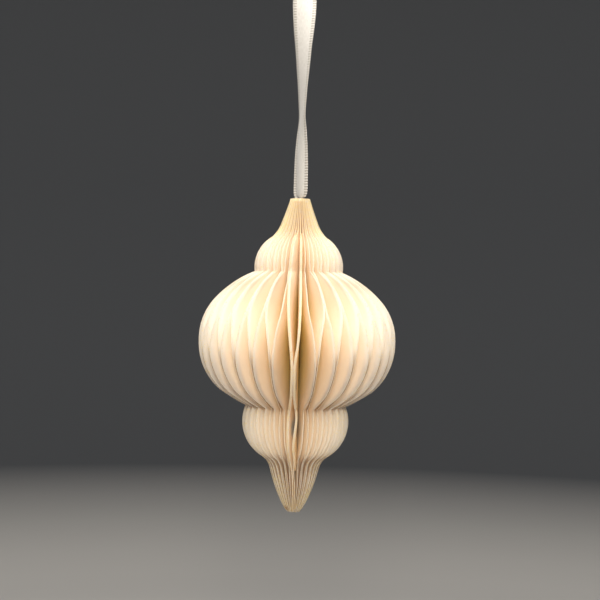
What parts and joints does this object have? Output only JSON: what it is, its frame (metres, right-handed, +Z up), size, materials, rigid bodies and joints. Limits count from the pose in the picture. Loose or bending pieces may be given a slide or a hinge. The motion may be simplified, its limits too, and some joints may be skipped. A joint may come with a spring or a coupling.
{
  "type": "paper honeycomb ornament",
  "caption": "Fold-out paper honeycomb hanging ornament with a large ball between a small dome and bowl, gilded leaf edges, and a satin ribbon loop.",
  "frame": {"origin": "inside of the ribbon loop's top, where a hook or a twig carries the ornament", "axes": "+Z up along the core, -Y towards the seam where the two covers meet, +X to the viewer's right"},
  "size_m": [0.0882, 0.0882, 0.2558],
  "materials": {
    "leaf_paper": "matte",
    "cover_card": "matte",
    "magnet": "satin",
    "ribbon": "satin"
  },
  "bodies": {
    "hanger": {"ribbon_loop": "ribbon"},
    "spine": {"ribbon_tail": "ribbon", "back_leaf_pair": "leaf_paper"},
    "left_leaf_pair_01": {"left_leaf_pair_01": "leaf_paper"},
    "left_leaf_pair_02": {"left_leaf_pair_02": "leaf_paper"},
    "left_leaf_pair_03": {"left_leaf_pair_03": "leaf_paper"},
    "left_leaf_pair_04": {"left_leaf_pair_04": "leaf_paper"},
    "left_leaf_pair_05": {"left_leaf_pair_05": "leaf_paper"},
    "left_leaf_pair_06": {"left_leaf_pair_06": "leaf_paper"},
    "left_leaf_pair_07": {"left_leaf_pair_07": "leaf_paper"},
    "left_leaf_pair_08": {"left_leaf_pair_08": "leaf_paper"},
    "left_leaf_pair_09": {"left_leaf_pair_09": "leaf_paper"},
    "left_leaf_pair_10": {"left_leaf_pair_10": "leaf_paper"},
    "left_leaf_pair_11": {"left_leaf_pair_11": "leaf_paper"},
    "left_leaf_pair_12": {"left_leaf_pair_12": "leaf_paper"},
    "left_leaf_pair_13": {"left_leaf_pair_13": "leaf_paper"},
    "left_leaf_pair_14": {"left_leaf_pair_14": "leaf_paper"},
    "left_leaf_pair_15": {"left_leaf_pair_15": "leaf_paper"},
    "left_cover": {"left_cover": "cover_card", "left_magnets": "magnet"},
    "right_leaf_pair_01": {"right_leaf_pair_01": "leaf_paper"},
    "right_leaf_pair_02": {"right_leaf_pair_02": "leaf_paper"},
    "right_leaf_pair_03": {"right_leaf_pair_03": "leaf_paper"},
    "right_leaf_pair_04": {"right_leaf_pair_04": "leaf_paper"},
    "right_leaf_pair_05": {"right_leaf_pair_05": "leaf_paper"},
    "right_leaf_pair_06": {"right_leaf_pair_06": "leaf_paper"},
    "right_leaf_pair_07": {"right_leaf_pair_07": "leaf_paper"},
    "right_leaf_pair_08": {"right_leaf_pair_08": "leaf_paper"},
    "right_leaf_pair_09": {"right_leaf_pair_09": "leaf_paper"},
    "right_leaf_pair_10": {"right_leaf_pair_10": "leaf_paper"},
    "right_leaf_pair_11": {"right_leaf_pair_11": "leaf_paper"},
    "right_leaf_pair_12": {"right_leaf_pair_12": "leaf_paper"},
    "right_leaf_pair_13": {"right_leaf_pair_13": "leaf_paper"},
    "right_leaf_pair_14": {"right_leaf_pair_14": "leaf_paper"},
    "right_leaf_pair_15": {"right_leaf_pair_15": "leaf_paper"},
    "right_cover": {"right_cover": "cover_card", "right_magnets": "magnet"}
  },
  "joints": [
    {"name": "ribbon_swivel", "type": "hinge", "parent": "hanger", "child": "spine", "pos_m": [0, 0, -0.117], "axis": [0, 0, 1], "range_deg": [-90, 90], "stiffness_Nm_per_rad": 0.0002},
    {"name": "left_cover_swing", "type": "hinge", "parent": "spine", "child": "left_cover", "pos_m": [-0.00392, 0, -0.185], "axis": [0, 0, -1], "range_deg": [0, 180]},
    {"name": "left_leaf_pair_01_turn", "type": "hinge", "parent": "spine", "child": "left_leaf_pair_01", "pos_m": [-0.00022, 0.00228, -0.185], "axis": [0, 0, -1], "range_deg": [0, 11.25]},
    {"name": "left_leaf_pair_02_turn", "type": "hinge", "parent": "spine", "child": "left_leaf_pair_02", "pos_m": [-0.00045, 0.00226, -0.185], "axis": [0, 0, -1], "range_deg": [0, 22.5]},
    {"name": "left_leaf_pair_03_turn", "type": "hinge", "parent": "spine", "child": "left_leaf_pair_03", "pos_m": [-0.00068, 0.00223, -0.185], "axis": [0, 0, -1], "range_deg": [0, 33.75]},
    {"name": "left_leaf_pair_04_turn", "type": "hinge", "parent": "spine", "child": "left_leaf_pair_04", "pos_m": [-0.0009, 0.00217, -0.185], "axis": [0, 0, -1], "range_deg": [0, 45]},
    {"name": "left_leaf_pair_05_turn", "type": "hinge", "parent": "spine", "child": "left_leaf_pair_05", "pos_m": [-0.00112, 0.0021, -0.185], "axis": [0, 0, -1], "range_deg": [0, 56.25]},
    {"name": "left_leaf_pair_06_turn", "type": "hinge", "parent": "spine", "child": "left_leaf_pair_06", "pos_m": [-0.00135, 0.00202, -0.185], "axis": [0, 0, -1], "range_deg": [0, 67.5]},
    {"name": "left_leaf_pair_07_turn", "type": "hinge", "parent": "spine", "child": "left_leaf_pair_07", "pos_m": [-0.00158, 0.00192, -0.185], "axis": [0, 0, -1], "range_deg": [0, 78.75]},
    {"name": "left_leaf_pair_08_turn", "type": "hinge", "parent": "spine", "child": "left_leaf_pair_08", "pos_m": [-0.0018, 0.0018, -0.185], "axis": [0, 0, -1], "range_deg": [0, 90]},
    {"name": "left_leaf_pair_09_turn", "type": "hinge", "parent": "spine", "child": "left_leaf_pair_09", "pos_m": [-0.00202, 0.00166, -0.185], "axis": [0, 0, -1], "range_deg": [0, 101.25]},
    {"name": "left_leaf_pair_10_turn", "type": "hinge", "parent": "spine", "child": "left_leaf_pair_10", "pos_m": [-0.00225, 0.0015, -0.185], "axis": [0, 0, -1], "range_deg": [0, 112.5]},
    {"name": "left_leaf_pair_11_turn", "type": "hinge", "parent": "spine", "child": "left_leaf_pair_11", "pos_m": [-0.00248, 0.00132, -0.185], "axis": [0, 0, -1], "range_deg": [0, 123.75]},
    {"name": "left_leaf_pair_12_turn", "type": "hinge", "parent": "spine", "child": "left_leaf_pair_12", "pos_m": [-0.0027, 0.00112, -0.185], "axis": [0, 0, -1], "range_deg": [0, 135]},
    {"name": "left_leaf_pair_13_turn", "type": "hinge", "parent": "spine", "child": "left_leaf_pair_13", "pos_m": [-0.00293, 0.00089, -0.185], "axis": [0, 0, -1], "range_deg": [0, 146.25]},
    {"name": "left_leaf_pair_14_turn", "type": "hinge", "parent": "spine", "child": "left_leaf_pair_14", "pos_m": [-0.00315, 0.00063, -0.185], "axis": [0, 0, -1], "range_deg": [0, 157.5]},
    {"name": "left_leaf_pair_15_turn", "type": "hinge", "parent": "spine", "child": "left_leaf_pair_15", "pos_m": [-0.00337, 0.00033, -0.185], "axis": [0, 0, -1], "range_deg": [0, 168.75]},
    {"name": "right_leaf_pair_01_turn", "type": "hinge", "parent": "spine", "child": "right_leaf_pair_01", "pos_m": [0.00022, 0.00228, -0.185], "axis": [0, 0, 1], "range_deg": [0, 11.25]},
    {"name": "right_leaf_pair_02_turn", "type": "hinge", "parent": "spine", "child": "right_leaf_pair_02", "pos_m": [0.00045, 0.00226, -0.185], "axis": [0, 0, 1], "range_deg": [0, 22.5]},
    {"name": "right_leaf_pair_03_turn", "type": "hinge", "parent": "spine", "child": "right_leaf_pair_03", "pos_m": [0.00068, 0.00223, -0.185], "axis": [0, 0, 1], "range_deg": [0, 33.75]},
    {"name": "right_leaf_pair_04_turn", "type": "hinge", "parent": "spine", "child": "right_leaf_pair_04", "pos_m": [0.0009, 0.00217, -0.185], "axis": [0, 0, 1], "range_deg": [0, 45]},
    {"name": "right_leaf_pair_05_turn", "type": "hinge", "parent": "spine", "child": "right_leaf_pair_05", "pos_m": [0.00112, 0.0021, -0.185], "axis": [0, 0, 1], "range_deg": [0, 56.25]},
    {"name": "right_leaf_pair_06_turn", "type": "hinge", "parent": "spine", "child": "right_leaf_pair_06", "pos_m": [0.00135, 0.00202, -0.185], "axis": [0, 0, 1], "range_deg": [0, 67.5]},
    {"name": "right_leaf_pair_07_turn", "type": "hinge", "parent": "spine", "child": "right_leaf_pair_07", "pos_m": [0.00158, 0.00192, -0.185], "axis": [0, 0, 1], "range_deg": [0, 78.75]},
    {"name": "right_leaf_pair_08_turn", "type": "hinge", "parent": "spine", "child": "right_leaf_pair_08", "pos_m": [0.0018, 0.0018, -0.185], "axis": [0, 0, 1], "range_deg": [0, 90]},
    {"name": "right_leaf_pair_09_turn", "type": "hinge", "parent": "spine", "child": "right_leaf_pair_09", "pos_m": [0.00202, 0.00166, -0.185], "axis": [0, 0, 1], "range_deg": [0, 101.25]},
    {"name": "right_leaf_pair_10_turn", "type": "hinge", "parent": "spine", "child": "right_leaf_pair_10", "pos_m": [0.00225, 0.0015, -0.185], "axis": [0, 0, 1], "range_deg": [0, 112.5]},
    {"name": "right_leaf_pair_11_turn", "type": "hinge", "parent": "spine", "child": "right_leaf_pair_11", "pos_m": [0.00248, 0.00132, -0.185], "axis": [0, 0, 1], "range_deg": [0, 123.75]},
    {"name": "right_leaf_pair_12_turn", "type": "hinge", "parent": "spine", "child": "right_leaf_pair_12", "pos_m": [0.0027, 0.00112, -0.185], "axis": [0, 0, 1], "range_deg": [0, 135]},
    {"name": "right_leaf_pair_13_turn", "type": "hinge", "parent": "spine", "child": "right_leaf_pair_13", "pos_m": [0.00293, 0.00089, -0.185], "axis": [0, 0, 1], "range_deg": [0, 146.25]},
    {"name": "right_leaf_pair_14_turn", "type": "hinge", "parent": "spine", "child": "right_leaf_pair_14", "pos_m": [0.00315, 0.00063, -0.185], "axis": [0, 0, 1], "range_deg": [0, 157.5]},
    {"name": "right_leaf_pair_15_turn", "type": "hinge", "parent": "spine", "child": "right_leaf_pair_15", "pos_m": [0.00337, 0.00033, -0.185], "axis": [0, 0, 1], "range_deg": [0, 168.75]},
    {"name": "right_cover_swing", "type": "hinge", "parent": "spine", "child": "right_cover", "pos_m": [0.00392, 0, -0.185], "axis": [0, 0, 1], "range_deg": [0, 180]}
  ],
  "couplings": [
    {"joint": "left_leaf_pair_01_turn", "follows": "left_cover_swing", "ratio": 0.0625},
    {"joint": "left_leaf_pair_02_turn", "follows": "left_cover_swing", "ratio": 0.125},
    {"joint": "left_leaf_pair_03_turn", "follows": "left_cover_swing", "ratio": 0.1875},
    {"joint": "left_leaf_pair_04_turn", "follows": "left_cover_swing", "ratio": 0.25},
    {"joint": "left_leaf_pair_05_turn", "follows": "left_cover_swing", "ratio": 0.3125},
    {"joint": "left_leaf_pair_06_turn", "follows": "left_cover_swing", "ratio": 0.375},
    {"joint": "left_leaf_pair_07_turn", "follows": "left_cover_swing", "ratio": 0.4375},
    {"joint": "left_leaf_pair_08_turn", "follows": "left_cover_swing", "ratio": 0.5},
    {"joint": "left_leaf_pair_09_turn", "follows": "left_cover_swing", "ratio": 0.5625},
    {"joint": "left_leaf_pair_10_turn", "follows": "left_cover_swing", "ratio": 0.625},
    {"joint": "left_leaf_pair_11_turn", "follows": "left_cover_swing", "ratio": 0.6875},
    {"joint": "left_leaf_pair_12_turn", "follows": "left_cover_swing", "ratio": 0.75},
    {"joint": "left_leaf_pair_13_turn", "follows": "left_cover_swing", "ratio": 0.8125},
    {"joint": "left_leaf_pair_14_turn", "follows": "left_cover_swing", "ratio": 0.875},
    {"joint": "left_leaf_pair_15_turn", "follows": "left_cover_swing", "ratio": 0.9375},
    {"joint": "right_leaf_pair_01_turn", "follows": "left_cover_swing", "ratio": 0.0625},
    {"joint": "right_leaf_pair_02_turn", "follows": "left_cover_swing", "ratio": 0.125},
    {"joint": "right_leaf_pair_03_turn", "follows": "left_cover_swing", "ratio": 0.1875},
    {"joint": "right_leaf_pair_04_turn", "follows": "left_cover_swing", "ratio": 0.25},
    {"joint": "right_leaf_pair_05_turn", "follows": "left_cover_swing", "ratio": 0.3125},
    {"joint": "right_leaf_pair_06_turn", "follows": "left_cover_swing", "ratio": 0.375},
    {"joint": "right_leaf_pair_07_turn", "follows": "left_cover_swing", "ratio": 0.4375},
    {"joint": "right_leaf_pair_08_turn", "follows": "left_cover_swing", "ratio": 0.5},
    {"joint": "right_leaf_pair_09_turn", "follows": "left_cover_swing", "ratio": 0.5625},
    {"joint": "right_leaf_pair_10_turn", "follows": "left_cover_swing", "ratio": 0.625},
    {"joint": "right_leaf_pair_11_turn", "follows": "left_cover_swing", "ratio": 0.6875},
    {"joint": "right_leaf_pair_12_turn", "follows": "left_cover_swing", "ratio": 0.75},
    {"joint": "right_leaf_pair_13_turn", "follows": "left_cover_swing", "ratio": 0.8125},
    {"joint": "right_leaf_pair_14_turn", "follows": "left_cover_swing", "ratio": 0.875},
    {"joint": "right_leaf_pair_15_turn", "follows": "left_cover_swing", "ratio": 0.9375},
    {"joint": "right_cover_swing", "follows": "left_cover_swing", "ratio": 1}
  ]
}
